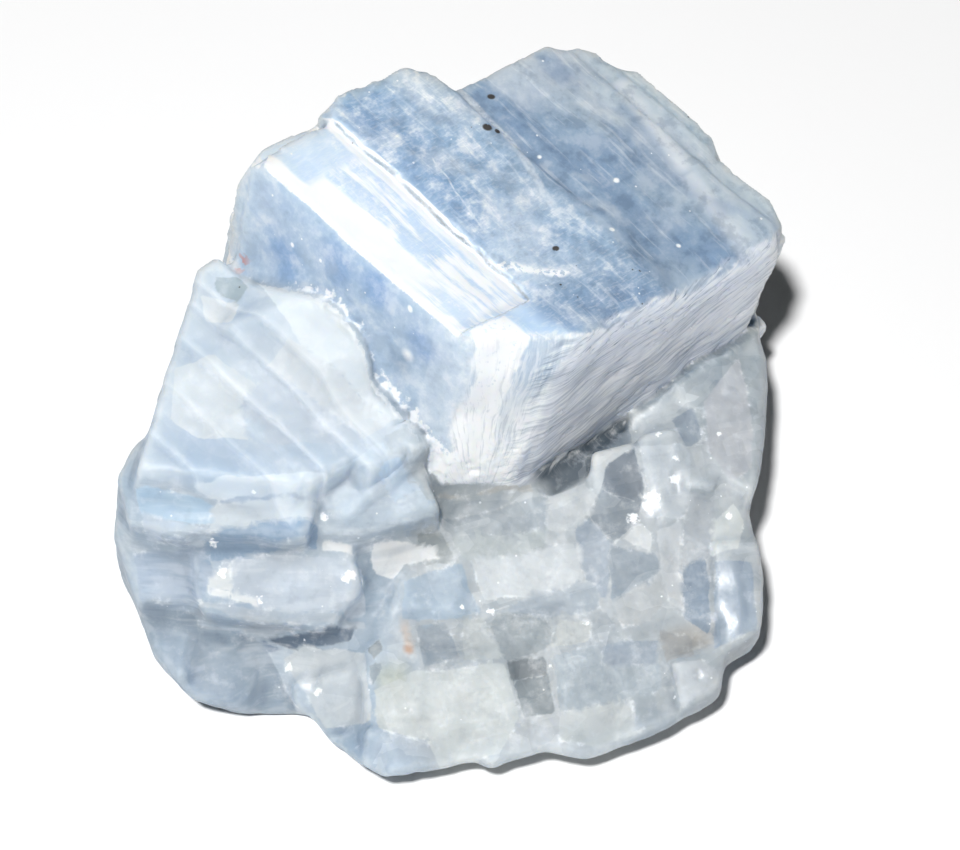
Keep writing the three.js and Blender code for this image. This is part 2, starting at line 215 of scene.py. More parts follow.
def worn_share(points):
    """1 where the stone is worn smooth: corners, the top's front edge, and the front of its step."""
    abc = crystal(points)
    a, b, c = abc.T
    front_edge = smooth(2.2, 0.8, a) * smooth(2.2, 0.8, c) * smooth(8, 11, b)
    step = smooth(14, 9, a) * span(17.4, 19.8, 0.6, b) * smooth(2.5, 1.5, c)
    slope_end = span(11.5, 16.0, 0.8, a) * span(-5.5, -0.6, 0.5, b)
    slope_end *= span(7.5, 13, 0.6, c)
    worn = np.maximum(np.maximum(0.85 * front_edge, step), 0.8 * slope_end)
    for *middle, radius in WORN_CORNERS:
        away = np.linalg.norm(abc - middle, axis=1) / radius
        worn = np.maximum(worn, smooth(1.1, 0.4, away))
    return worn


def melted_surface(points, triangles):
    """Quads of the melted solid: rounded grains and plates, crisp crown with worn corners."""
    transform = vdb.createLinearTransform(voxelSize=VOXEL)
    grid = vdb.FloatGrid.createLevelSetFromPolygons(
        points, triangles=triangles.astype(np.uint32), transform=transform, halfWidth=float(BAND)
    )
    low = np.floor(points.min(0) / VOXEL).astype(int) - BAND
    high = np.ceil(points.max(0) / VOXEL).astype(int) + BAND
    field = np.full(high - low, BAND * VOXEL, np.float32)
    start = tuple(int(v) for v in low)
    grid.copyToArray(field, ijk=start)
    near = np.abs(field) < BAND * VOXEL * 0.9
    crisp, rounded, worn, flowing = [blurred(field, spread)[near] for spread in BLURS]
    places = (np.argwhere(near) + low) * VOXEL
    x, y, _ = places.T
    above_plate = span(-26, -9, 1.5, x) * span(-14.0, -12.2, 0.5, y)
    below_plate = span(-18, -10.5, 1.0, x) * span(-19.6, -17.6, 0.5, y)
    gaps = np.maximum(above_plate, below_plate).astype(np.float32)
    share = crisp_share(places).astype(np.float32)
    wear = worn_share(places).astype(np.float32)
    # The creases between the grains of the skirt are filled, and the gaps between the plates stay open.
    filled = np.minimum(worn + OPEN_GAPS * gaps, flowing + CREASE_DEPTH + GAP_DEPTH * gaps)
    rounded = np.minimum(rounded, filled)
    # Beside the crown the thin plates and the slope run into each other without a groove.
    a, b, c = crystal(places).T
    beside = span(8, 29.5, 1.0, a) * span(-8.5, 0.8, 0.5, b) * span(5, 16, 1.0, c)
    elsewhere = BAND * VOXEL * (1 - beside).astype(np.float32)
    crisp = np.minimum(crisp, flowing + GROOVE_DEPTH + elsewhere)
    melted = share * crisp + (1 - share) * rounded
    result = field.copy()
    result[near] = (1 - wear) * melted + wear * worn
    grid.copyFromArray(result, ijk=start)
    vertices, quads = grid.convertToQuads(isovalue=0.0)
    # Blurring raises the field on sharp outer edges, and lowers it in creases.
    edges = blurred(field, 2.4) - blurred(field, 0.7)
    return vertices.astype(float), quads.astype(np.int32), (edges, low)


def sampled(field, low, points):
    """Values of a field at points, between its voxels."""
    place = points / VOXEL - low
    base = np.clip(np.floor(place).astype(int), 0, np.array(field.shape) - 2)
    t = place - base
    total = np.zeros(len(points))
    for corner in np.ndindex(2, 2, 2):
        weight = np.prod(np.where(corner, t, 1 - t), axis=1)
        i, j, k = (base + corner).T
        total += weight * field[i, j, k]
    return total


def placed(name, data):
    """A new object in the scene."""
    made = bpy.data.objects.new(name, data)
    scene.collection.objects.link(made)
    return made


# ---------------- zones of the surface


class Zones:
    """Shares between 0 and 1 that say which part of the stone each point belongs to."""

    def __init__(self, points, normals):
        self.abc = crystal(points)
        self.a, self.b, self.c = a, b, c = self.abc.T
        self.crown = smooth(-1.5, -0.7, a) * smooth(-1.2, -0.6, b) * smooth(15.8, 15.0, c)
        self.top = self.crown * smooth(3.6, 3.0, c) * smooth(0.5, 0.8, normals @ TOP_NORMAL)
        self.left = self.crown * smooth(1.5, 0.9, b) * smooth(0.5, 0.8, normals @ LEFT_NORMAL)
        self.right = self.crown * smooth(1.5, 0.9, a) * smooth(0.6, 0.85, normals @ RIGHT_NORMAL)
        # the broken front corner
        broken_off = smooth(1.15, 1.0, a / 5.2 + b / 8.4)
        self.broken = self.crown * smooth(0.2, 0.6, a) * smooth(0.2, 0.6, b) * broken_off
        beside = np.maximum(smooth(-0.9, -1.6, b), smooth(-0.3, 0.5, below_rim(self)))
        shoulder = smooth(5, 6, a) * smooth(-20, -19, b) * smooth(0.2, -0.6, b) * beside
        self.shoulder = shoulder * smooth(5.5, 6.5, c) * smooth(17.5, 16.5, c)
        self.skirt = (1 - self.crown) * (1 - self.shoulder)
        # the long plates reach further forward at the left
        forward = points[:, 1] + 10 * smooth(-10, -14, points[:, 0])
        self.plates = self.skirt * smooth(-2, -7, points[:, 0]) * smooth(-20, -16, forward)
        self.under = smooth(0.5, 0.9, -normals[:, 2]) * smooth(2.0, 0.5, points[:, 2])


# ---------------- surface detail


# Glossy, melted-looking faces on worn grains: x and y of the middle, half length and width in x
# and y, in mm, and the bearing and the tilt from level, in degrees, that each face looks towards.
GLOSSY_FACES = [
    (24.2, -16.2, 1.1, 3.1, -111, 22.3),
    (19.7, -4.9, 0.5, 1.8, -107, 23.9),
    (17.5, -8.0, 0.7, 1.0, -107, 23.3),
    (21.4, -22.3, 0.5, 0.5, -110, 21.1),
    (24.0, -9.0, 0.35, 0.35, -110, 23.4),
    (-8.7, -14.6, 0.9, 0.5, -96, 21.4),
    (-10.7, -10.9, 0.8, 0.6, -95, 22.2),
    (-12.1, -21.7, 0.8, 0.7, -95, 19.8),
]


def on_face(points, normals, face):
    """1 on a glossy face, fading outside it, and how far each point is below the face's plane."""
    x, y, half_x, half_y, bearing, tilt = face
    away = np.hypot((points[:, 0] - x) / half_x, (points[:, 1] - y) / half_y)
    inside = smooth(1.6, 0.7, away) * smooth(0.2, 0.5, normals[:, 2])
    middle = (away < 0.4) & (normals[:, 2] > 0.5)
    height = points[middle, 2].mean() if middle.any() else 0.0
    looks = direction(bearing, 90 - tilt)
    return inside, (np.array([x, y, height]) - points) @ looks


def gloss_of(points, normals):
    share = np.zeros(len(points))
    for face in GLOSSY_FACES:
        share = np.maximum(share, on_face(points, normals, face)[0])
    return share


def vector_noise(points, size, seed):
    return np.stack([noise(points / size, seed + k) for k in range(3)], 1)


def warped(points):
    """The points moved a little sideways, so that no edge is quite straight."""
    move = 0.34 * vector_noise(points, 7.0, 101) + 0.14 * vector_noise(points, 2.4, 111)
    move += 0.05 * vector_noise(points, 1.0, 121)
    move[:, 2] *= smooth(0.5, 4.0, points[:, 2])
    return points + move


def detail(points, normals, edge):
    """How far each point moves along its normal, in mm. The edge value is 1 on sharp outer edges."""
    z = Zones(points, normals)
    abc = z.abc
    move = np.zeros(len(points))

    # the skirt: worn, rounded grains with shallow creases
    wander = 0.35 * vector_noise(points, 2.6, 5)
    grains = 0.07 * pillows((points + wander) / (4.2, 3.2, 3.4), 40)
    grains += 0.06 * fractal(points / 2.4, 3, 3)
    move += z.skirt * (1 - z.plates) * grains
    layers = 0.08 * pillows((points + 2 * wander) / (8.0, 2.6, 2.0), 60)
    layers += 0.05 * fractal(points / (6.0, 2.0, 1.2), 11)
    move += z.plates * layers

    # the crown's top: gentle swell and fine cleavage steps along its long edges
    swell = 0.14 * fractal(abc / 7.0, 21)
    strip = noise(abc / (16, 1.3, 9), 23)
    steps = 0.03 * np.sign(strip) * smooth(0.0, 0.25, np.abs(strip))
    move += z.top * (swell + steps)

    # the left side: nearly smooth
    move += z.left * (0.12 * fractal(abc / 4.0, 27) + 0.02 * noise(abc / (1.4, 4, 14), 29))

    # the right side: fine striations that climb a little steeper than its top edge
    streaked = np.stack([z.b, striation(z), z.a], 1)
    grooves = noise(streaked / (7, 0.5, 20), 33)
    pits = smooth(0.62, 0.80, noise(streaked / (1.6, 0.42, 20), 36))
    move += z.right * (0.035 * grooves - 0.11 * pits + 0.20 * fractal(abc / 5.0, 35))

    # the broken corner: hackly, with ridges that fan out from its foot
    fan = np.arctan2(z.a - z.b + 2.0, 19 - z.c)
    ridge = 1 - np.abs(noise(np.stack([16 * fan, z.c / 4.5, z.b / 6], 1), 41)) * 2
    shard = pillows(points / (3.4, 2.6, 4.2), 42, 0.6, 0.9)
    hackle = 1 - np.abs(fractal(points / (1.5, 1.2, 1.8), 44, 3, 0.55)) * 2
    lower = smooth(5, 11, z.c)
    move += z.broken * (0.05 * ridge + 0.28 * shard + (0.04 + 0.11 * lower) * hackle)

    # thin plates: a few small, crisp steps along the crown's long edges
    front = z.b + 0.10 * noise(abc / 4, 51)
    steps = sum(height * smooth(start - 0.1, start + 0.1, front) for start, _, height in BANDS)
    move += z.shoulder * (steps + 0.07 * fractal(abc / 5, 53))

    # crumbled white rim where the crown's left side meets the plates, and the crumbled foot
    crumbs = 1 - np.abs(fractal(points / 0.9, 55, 2)) * 2
    rim = z.left * smooth(-0.8, 0.2, below_rim(z))
    move += 0.16 * crumbs * np.maximum(rim, z.broken * smooth(10, 13, z.c))

    # chipped and worn edges
    chips = smooth(-0.05, 0.45, fractal(points / 1.5, 57)) * (0.06 + 0.12 * z.crown + 0.06 * z.shoulder)
    move -= chips * np.clip(edge, 0, 1)

    # underneath: shallow breaks that never go below the resting face
    rest = np.clip(0.5 * fractal(points / 6, 61) + 0.30 * pillows(points / 5, 62) - 0.1, 0, None)
    move -= z.under * rest
    return move


# Depth of the white broken rim on the crown's left side, by distance along.
RIM_ALONG = [1, 5.6, 8.3, 10.1, 12.6, 13.5, 15.0, 17.3, 19.5, 22.1, 25.0, 28.3]
RIM_DEPTH = [12.4, 11.9, 11.0, 10.7, 10.2, 8.7, 7.5, 6.7, 7.2, 8.9, 11.7, 13.4]

# Bands on the shoulder: where each starts, across, how far it fades out, and the height of its step.
BANDS = [(-3.9, 2.2, 0.10), (-5.6, 1.6, 0.07), (-8.4, 2.6, 0.12), (-11.9, 2.6, 0.09), (-15.6, 2.0, 0.08)]


def below_rim(z):
    """Distance below the rim, in mm: above it is less than 0."""
    return z.c - np.interp(z.a, RIM_ALONG, RIM_DEPTH)


def striation(z):
    """Distance across the striations of the crown's right side, in mm."""
    drift = 0.5 * noise(np.stack([z.b / 9, z.c / 5, z.a / 5], 1), 31)
    return z.c + 0.33 * z.b + drift


def stone_mesh():
    cad_points, cad_triangles = cad_surface()
    vertices, quads, edges = melted_surface(cad_points, cad_triangles)
    mesh = bpy.data.meshes.new("stone")
    mesh.from_pydata(vertices, [], quads, shade_flat=False)
    normals = array_of(mesh.vertex_normals, "vector").astype(float)
    vertices = array_of(mesh.vertices, "co").astype(float)
    centre = vertices.mean(0)
    if ((vertices - centre) * normals).sum() < 0:
        mesh.flip_normals()
        normals = -normals
    edge = sampled(*edges, vertices) / SHARP_EDGE
    vertices += normals * detail(vertices, normals, edge)[:, None]
    for face in GLOSSY_FACES:
        inside, below = on_face(vertices, normals, face)
        vertices += FACE_PULL * (inside * below)[:, None] * direction(face[4], 90 - face[5])
    vertices = warped(vertices)
    vertices[:, 2] = np.maximum(vertices[:, 2], 0)
    mesh.vertices.foreach_set("co", vertices.astype(np.float32).ravel())
    mesh.update()
    return mesh, edges


def thinned(mesh):
    """The same surface with no more triangles than TRIANGLES."""
    holder = placed("holder", mesh)
    cut = holder.modifiers.new("thin", "DECIMATE")
    cut.ratio = min(1.0, TRIANGLES / (2 * len(mesh.polygons)))
    cut.use_collapse_triangulate = True
    graph = bpy.context.evaluated_depsgraph_get()
    result = bpy.data.meshes.new_from_object(holder.evaluated_get(graph))
    bpy.data.objects.remove(holder)
    return result


full, edges = stone_mesh()
mesh = thinned(full)
points = array_of(mesh.vertices, "co").astype(float)
normals = array_of(mesh.vertex_normals, "vector").astype(float)
mesh.vertices.foreach_set("co", (points * MM).astype(np.float32).ravel())
mesh.update()
mesh.shade_smooth()
mesh.set_sharp_from_angle(angle=math.radians(38))
stone = placed("calcite_specimen", mesh)

# ---------------- colour

WHITE_SHOWS = 1.06     # how bright a white surface that faces the light looks
BASE_SHOWS = 0.12      # how much of the broad colour shows in an outlined grain


def seen(*srgb):
    """The surface colour that looks like this one, given from 0 to 255, in the studio light."""
    c = np.array(srgb) / 255
    return np.where(c <= 0.04045, c / 12.92, ((c + 0.055) / 1.055) ** 2.4) / WHITE_SHOWS


def between(share, first, second):
    share = np.clip(share, 0, 1)[:, None]
    return first * (1 - share) + second * share


SKIRT_LIGHT = 1.22     # how much brighter the skirt stands in the light than the crown does

# The grains of the skirt are turned a little from the x axis.
turn = math.radians(14)
GRAIN_TURN = np.array([[math.cos(turn), -math.sin(turn), 0], [math.sin(turn), math.cos(turn), 0], [0, 0, 1]])


class Paint:
    """A colour for each vertex, covered layer by layer."""

    def __init__(self, points, colour):
        self.points = points
        self.colour = colour

    def cover(self, share, colour):
        self.colour = between(share, self.colour, colour)

    def block(self, centre, halves, colour, share, soft):
        """Cover a block of the skirt: its middle and half sizes in mm, with rounded corners."""
        offset = (self.points - centre) @ GRAIN_TURN / halves
        away = (np.abs(offset) ** 5).sum(1) ** 0.2
        self.cover(share * smooth(1 + soft, 1 - soft, away), seen(*colour) / SKIRT_LIGHT)


# Grains and pieces of the plates that can be told apart: red, green and blue, then their outline
# in plan, as x and y of each corner in mm. A later one lies over an earlier one.
GRAIN_OUTLINES = [
    # the skirt in front of the crown's broken corner, and to the right
    (170, 181, 189, -1.1, -9.8, 8.3, -7.4, 8.3, -10.8, 0.1, -10.9),
    (188, 198, 201, -0.1, -10.7, 8.3, -10.3, 8.4, -11.6, 2.3, -12.8, 1.1, -12.7),
    (210, 216, 219, 8.3, -7.5, 11.6, -6.1, 13, -7.8, 11.9, -9.3, 9.5, -10.6, 8.3, -10.3),
    (140, 153, 164, 13.4, -6.6, 17, -6.6, 16.3, -9.6, 14.2, -11.5, 11.9, -9.3),
    (114, 128, 142, 13.5, -5, 16, -3.1, 17, -6.6, 16, -7.8, 13.3, -7.1),
    (206, 214, 220, 16.5, -3.1, 21, -2.7, 20.9, -9.3, 16.9, -9.2, 17.2, -6.9),
    (226, 231, 233, 15.8, -9.9, 16.7, -9.4, 17.7, -10.7, 17.3, -12.1, 15.1, -11.1),
    (170, 184, 198, 10.8, -10.3, 12.1, -9.3, 14, -11.4, 13.5, -15.9, 11.2, -15.8, 11, -12.6),
    (158, 172, 184, 13.7, -12.6, 14, -11.6, 17.7, -12.1, 18.5, -13.2, 16.4, -14.8, 13.8, -16),
    (194, 200, 203, 14, -16.3, 16.1, -14.6, 18.2, -14.3, 18.8, -15.9, 17.2, -18, 14.6, -18.3),
    (217, 224, 228, 1.6, -12.8, 8.4, -11.6, 11.2, -11.4, 11.6, -14.3, 9.5, -15.4, 2.9, -16),
    (174, 187, 198, 6, -15.9, 11.6, -14.4, 12.9, -15.1, 12.9, -16.9, 8.6, -17.4, 4.7, -17),
    (164, 175, 181, 4.2, -17, 8.2, -17.5, 9.4, -19.3, 7.7, -20.2, 4.7, -20.9, 2.8, -18.4),
    (204, 210, 210, 9.4, -17.6, 12.2, -17.6, 12, -19.6, 8.4, -20),
    (142, 154, 161, 4.7, -20.9, 8.1, -20.5, 9.1, -25.4, 6.3, -25.5),
    (114, 126, 134, 4.7, -20.9, 8.1, -20.5, 8.4, -22, 5.2, -22.7),
    (176, 189, 198, 8.7, -20.6, 14.6, -19.3, 18.1, -19.3, 18.2, -23.4, 16.3, -24.1, 9.4, -25.1),
    (160, 175, 190, 12.9, -19.9, 14.6, -19.3, 18.1, -19.3, 17.7, -21.2, 13.4, -21.6),
    (206, 213, 214, 9.4, -25.1, 15.4, -24.3, 16.3, -26.8, 12.8, -28.1, 9.4, -27.6),
    (170, 182, 190, 15.6, -24.2, 17.7, -23.7, 18, -26.1, 15.9, -26.8),
    (208, 214, 218, 19.1, -21.4, 21.5, -21.1, 23.1, -22.3, 22.7, -23.5, 19.7, -25.1),
    (174, 177, 178, 18.1, -18.4, 20.7, -18.8, 21.2, -20.7, 18.6, -21.2),
    (134, 155, 176, 20.1, -13.3, 22.2, -12.6, 22.8, -18.9, 20.2, -17.5),
    (168, 184, 200, 22.9, -13, 26.2, -12.9, 26.5, -18.7, 22.9, -20.1),
    (222, 228, 228, 22.8, -9.4, 24.8, -7.8, 25.6, -9.2, 24.9, -12, 22.4, -12.6),
    (182, 190, 197, 20.9, -7.6, 23.1, -7.5, 22.4, -12.6, 20, -13.3, 20.3, -9.4),
    # the skirt's left part
    (173, 193, 210, -4.1, -14.4, 0.9, -12.9, 1.6, -15.1, 2.8, -17, 0.8, -17.5, -4.4, -17.7),
    (162, 171, 174, -3.1, -11.2, -0.8, -10.5, 0.6, -12.9, -2.4, -13.2),
    (158, 171, 182, -3.1, -18.1, -0.5, -17.7, 0.9, -20.8, -2.3, -21.6),
    (214, 221, 221, -3.7, -22, 4.6, -21.1, 6, -25.5, 4.2, -28.7, -0.9, -29.8, -4.1, -24.2),
    (198, 206, 208, 0.9, -17.5, 2.8, -17.4, 4.2, -20.1, 4.7, -20.9, 1.1, -20.9),
    (198, 200, 198, -1.8, -8.6, 6.9, -6.2, 7.2, -7.2, -1, -7.9),
    (166, 190, 214, -4.4, -9.6, -1.3, -9.6, -1, -10.5, -4.1, -11.5),
    # its far right
    (156, 169, 182, 19.5, 0.1, 21.5, 1, 22.1, -2.3, 20.6, -3.3),
    (202, 206, 211, 22.4, 1.5, 25.7, 6.6, 26.6, 0.1, 26.5, -4.6, 24.4, -6.5, 22.4, -2.9),
    (214, 220, 224, 17.9, -10.2, 20.1, -9.2, 20, -13.4, 20.2, -16.9, 19, -16.3, 18.3, -14.3),
    # the foot of the shoulder
    (211, 219, 224, -20.5, 1.5, -16.3, -1.2, -17.2, -5.8, -21.4, -6, -24, -4.4, -23.8, 0.2),
    (193, 204, 215, -15.8, 0.3, -9.2, -4.2, -7.4, -5.6, -11.2, -6.2, -14.4, -6.3, -17.2, -5.8, -18.1, -3.2),
    (209, 216, 221, -14, 2.3, -9.5, -0.8, -5.1, -4, -7.4, -5.6, -9.2, -4.2, -15.8, 0.3),
    (188, 203, 216, -17.7, -3.8, -16.5, -4.2, -15.6, -6.3, -17.2, -5.8),
    (222, 230, 235, -17, 8.3, -13.9, 6.4, -9.5, 4.9, -7.6, 2.2, -7.1, -0.6, -2.7, -4.1, -5.1, -4, -13, 1.7),
    (160, 175, 182, -20.5, 8.7, -18.4, 8.8, -17.6, 7.7, -18.4, 6.2, -19.8, 6.7, -20.8, 7.8),
    (216, 222, 225, -21.9, 7.2, -19.8, 6.5, -18.3, 5.9, -19.1, 4.2, -21.3, 4.6),
    # the long plates, and the grains below them
    (188, 215, 236, -26.9, -9.5, -22.3, -9.9, -20.2, -10.7, -20.4, -12.1, -24.9, -11.8, -26.7, -11.1),
    (206, 220, 233, -26.6, -11.3, -20.4, -12.3, -21.1, -12.6, -25.2, -12.6, -26.3, -12.4),
    (212, 223, 232, -22.2, -9.4, -10.4, -8.6, -11.1, -10.1, -20.2, -10.5),
    (216, 226, 233, -20.2, -10.7, -11.3, -10.2, -11.5, -11.3, -20.8, -12.6),
    # the gap between the plates, painted a darker blue: painted shade
    (154, 180, 206, -21.1, -12.6, -11.4, -11.5, -11.5, -12.8, -13.9, -13, -19.5, -13.7, -21.2, -13.8),
    (176, 193, 212, -27.5, -12.7, -21.2, -12.9, -20.6, -14.4, -21.2, -16.4, -27, -16.3),
    (206, 217, 228, -19.8, -13.8, -16.3, -13.2, -9.6, -13.4, -7.8, -13.8, -7.4, -17.2, -13.1, -17.4, -21.2,
     -16.4),
    # the plate's bright bar and its white end: painted highlight
    (236, 241, 242, -21, -14.9, -19.1, -14, -18.9, -16, -21, -15.8),
    (246, 249, 250, -21, -15.8, -16.7, -16.3, -16.3, -17, -21, -16.3),
    (197, 208, 218, -22.2, -16.6, -13.1, -17.4, -7.4, -17.4, -7.4, -18, -16.4, -18.2, -22, -17),
    (142, 162, 186, -22, -17.4, -16.4, -18.2, -14.6, -19, -18.5, -19.5, -22, -18.5),
    # a hollow below the plates, painted dark blue: painted shade
    (96, 116, 138, -16.9, -18.1, -13.1, -18.3, -8.3, -17.9, -8.8, -19, -11.3, -19.1, -14.1, -19.1, -15.9,
     -18.3),
    (162, 178, 193, -30.6, -15.6, -22.3, -16.6, -22, -17.4, -16.6, -18.3, -14.9, -20.9, -13.2, -24, -13.3,
     -26.8, -20, -26.8, -25.6, -24.6, -29.6, -19),
    (214, 222, 227, -14.7, -19.7, -13.2, -18.9, -9.7, -19.4, -7.4, -20.1, -7, -23.3, -6.8, -25.8, -11,
     -25.2, -13.1, -22.2),
    (146, 156, 161, -7.4, -19.9, -6.2, -19.1, -5.8, -20.1, -6.7, -20.8),
    (146, 162, 173, -7.1, -21.2, -5.7, -21, -6.7, -23),
    (211, 218, 217, -6.7, -23.3, -3.7, -22, -4.1, -24.2, -1.8, -27.6, -6.3, -26.4),
    (246, 249, 250, -6.9, -12.1, -5.1, -11.7, -1.3, -11.7, -1, -12.6, -4.1, -13.2, -5, -14.4, -6.9, -13.9),
    (246, 249, 250, -11.1, -12.2, -8.5, -12.5, -8.6, -13.1, -11.1, -12.9),
    # grains between the plates and the crown
    (196, 210, 222, -10.2, -8.5, -3.5, -7.4, -2.1, -9.6, -1.1, -10.2, -1.3, -10.6, -3.1, -11.2, -10.4,
     -11.9, -11.1, -10.4),
    (196, 216, 234, -5.7, -7.4, -4.2, -6.9, -3.2, -9.1, -4.7, -9.8, -6.1, -8.3),
    (205, 218, 229, -10.3, -8.5, -5.7, -5.7, -5.1, -6.9, -5.9, -7.6),
    (188, 199, 207, -5.9, -5.3, -3.7, -4.3, -1.6, -5.5, -1.3, -6.5, -4.9, -6.8),
]


def depth_inside(points, outline):
    """Distance inside an outline in plan, in mm: outside it is less than 0."""
    corners = np.array(outline).reshape(-1, 2)
    nearest = np.full(len(points), 1e9)
    crossings = np.zeros(len(points), int)
    for start, end in zip(corners, np.roll(corners, -1, 0)):
        side = end - start
        offset = points[:, :2] - start
        share = np.clip(offset @ side / (side @ side), 0, 1)
        nearest = np.minimum(nearest, np.linalg.norm(offset - share[:, None] * side, axis=1))
        spans = (offset[:, 1] < 0) != (points[:, 1] < end[1])
        rise = side[1] if side[1] else 1.0
        crossings += spans & (offset[:, 0] < side[0] * offset[:, 1] / rise)
    return np.where(crossings % 2, nearest, -nearest)


def outlined_grains(points, light, base):
    """The colour of the nearest outlined grain, and how far inside its border each point is, in mm."""
    place = points + 0.18 * vector_noise(points, 1.6, 151)
    cloud = 1 + 0.12 * fractal(points / 2.2, 161, 3)
    colour = base.copy()
    inside = np.full(len(points), -9.0)
    for red, green, blue, *outline in GRAIN_OUTLINES:
        depth = depth_inside(place, outline)
        within = depth > 0
        taken = within | (depth > inside)
        colour[taken] = (seen(red, green, blue) * (cloud / light)[:, None])[taken]
        beside = np.where(inside > 0, np.minimum(inside, -depth), np.maximum(inside, depth))
        inside = np.where(within, depth, beside)
    return BASE_SHOWS * base + (1 - BASE_SHOWS) * colour, inside


# Pale and deep patches of the crown's top: along, across, half sizes in mm, colour, cover.
TOP_PATCHES = [
    (12.6, 12.4, 4.6, 3.0, (208, 223, 238), 0.75),
    (9.4, 9.6, 4.4, 2.4, (206, 222, 236), 0.75),
    (5.2, 21.5, 5.0, 3.6, (128, 155, 184), 0.6),
    (1.6, 12.6, 3.0, 4.0, (136, 160, 188), 0.6),
    (3.6, 8.0, 2.8, 2.0, (140, 169, 200), 0.7),
    (1.3, 20.5, 2.6, 3.5, (166, 184, 200), 0.6),
]


def oval(u, v, middle, halves, start=0.4, end=1.1):
    """1 in an oval patch, fading from start to end of its half sizes."""
    return smooth(end, start, np.hypot((u - middle[0]) / halves[0], (v - middle[1]) / halves[1]))


def tints(points, normals):
    """The broad colour of each point. Fine marks are left to the material."""
    z = Zones(points, normals)
    abc = z.abc

    # the skirt: each block has a tone, grey-white at the right and bluer at the left
    tone = 0.5 + 0.8 * fractal(points / 4.5, 70)
    right = between(tone, seen(174, 185, 192), seen(208, 214, 217)) / SKIRT_LIGHT
    left = between(tone, seen(170, 190, 208), seen(206, 218, 228)) / SKIRT_LIGHT
    leftness = smooth(-1, -7, points[:, 0] + 2 * noise(points / 5, 71))
    paint = Paint(points, between(leftness, right, left))

    # the shoulder of thin plates: nearly white, faintly blue in places
    cloud = 0.5 + 0.8 * fractal(abc / (6, 3, 4), 74)
    paint.cover(z.shoulder, between(cloud, seen(182, 198, 213), seen(206, 216, 224)))
    paint.cover(0.55 * z.shoulder * oval(z.a, z.b, (14.0, -13.4), (7.0, 3.0), 0.5), seen(166, 188, 210))
    paint.cover(0.5 * z.shoulder * oval(z.a, z.b, (24.0, -16.0), (4.0, 3.4)), seen(172, 193, 213))

    # the crown's top, from its left to its right
    wander = z.b + 1.3 * fractal(abc / (9, 4, 6), 75)
    stops = [
        (7.4, (196, 219, 242)), (7.8, (162, 187, 214)), (10.5, (148, 178, 209)), (14, (158, 186, 213)),
        (17.4, (166, 190, 213)), (18.6, (152, 175, 199)), (21.5, (139, 163, 189)), (25, (158, 179, 199)),
        (28.2, (202, 213, 221)), (30, (186, 201, 213)), (34, (194, 208, 217)),
    ]
    levels = np.array([b for b, _ in stops], float)
    shades = np.array([seen(*c) for _, c in stops])
    paint.cover(z.top, np.stack([np.interp(wander, levels, shades[:, k]) for k in range(3)], 1))
    # its front is evener, and its back right corner paler
    front = z.top * smooth(8.0, 4.0, z.a + 1.5 * fractal(abc / 4, 85)) * smooth(27, 24, z.b)
    paint.cover(0.7 * front * smooth(7.6, 9, z.b), seen(143, 168, 194))
    paint.cover(0.65 * z.top * oval(z.a, z.b, (25.5, 27.5), (4.5, 6.0)), seen(196, 205, 214))
    paint.cover(0.3 * z.top * oval(z.a, z.b, (7.2, 12.5), (3.0, 4.0), 0.3), seen(200, 212, 222))

    # the left side: deep blue in its middle, paler towards its ends
    side = between(smooth(3, 14, z.a + 3 * fractal(abc / 4, 79)), seen(188, 205, 221), seen(176, 198, 220))
    paint.cover(z.left, side)
    paint.cover(0.85 * z.left * smooth(26, 30.5, z.a + fractal(abc / 3, 84)), seen(192, 209, 226))
    for a, c, size in ((24.4, 7.4, 3.4), (18.9, 3.4, 3.0), (14.5, 2.4, 2.6), (9.0, 4.0, 2.4)):
        paint.cover(0.85 * z.left * oval(z.a, z.c, (a, c), (size, size), 0.2, 1.0), seen(142, 174, 212))

    # the right side: lavender-grey, darker towards its lower left
    shade = smooth(2, 15, z.c + 0.25 * (22 - z.b) + 2 * fractal(abc / 6, 81))
    paint.cover(z.right, between(shade, seen(231, 237, 247), seen(206, 212, 222)))
    paint.cover(z.right * smooth(28, 33, z.b), seen(218, 224, 234))
    # the crevice under the right side is painted dark: painted shade in a recess
    crevice_shade = span(14.6, 16.6, 0.5, z.c) * span(7, 24, 1, z.b)
    crevice_shade *= span(-2.5, 2.5, 0.5, z.a)
    paint.cover(0.95 * crevice_shade, seen(78, 91, 102))

    # the broken corner
    paint.cover(z.broken, between(0.5 + fractal(abc / 2.4, 82), seen(216, 225, 233), seen(250, 252, 253)))
    upper = z.broken * smooth(8, 3, z.c) * smooth(-0.8, 0.2, fractal(abc / 2.5, 86))
    paint.cover(0.75 * upper, seen(170, 193, 215))

    # milky clouds inside the crown and the skirt
    milk = fractal(abc / (7.0, 4.0, 5.0), 90, 4, 0.55)
    paint.cover(0.65 * z.top * smooth(0.05, 0.5, milk) * smooth(7.6, 9.0, z.b), seen(200, 211, 222))
    paint.cover(0.6 * z.top * smooth(0.05, 0.45, -milk) * smooth(9.0, 12.0, z.b), seen(130, 156, 186))
    for *middle, half_a, half_b, colour, share in TOP_PATCHES:
        paint.cover(share * z.top * oval(z.a, z.b, middle, (half_a, half_b), 0.3), seen(*colour))
    milk = fractal(points / 4.0, 94, 4, 0.55)
    paint.cover(0.40 * z.left * smooth(0.08, 0.5, milk), seen(206, 219, 232))
    paint.cover(0.30 * z.skirt * smooth(0.08, 0.5, milk), seen(216, 222, 225) / SKIRT_LIGHT)
    paint.cover(0.30 * z.skirt * smooth(0.08, 0.5, -milk), seen(150, 165, 180) / SKIRT_LIGHT)

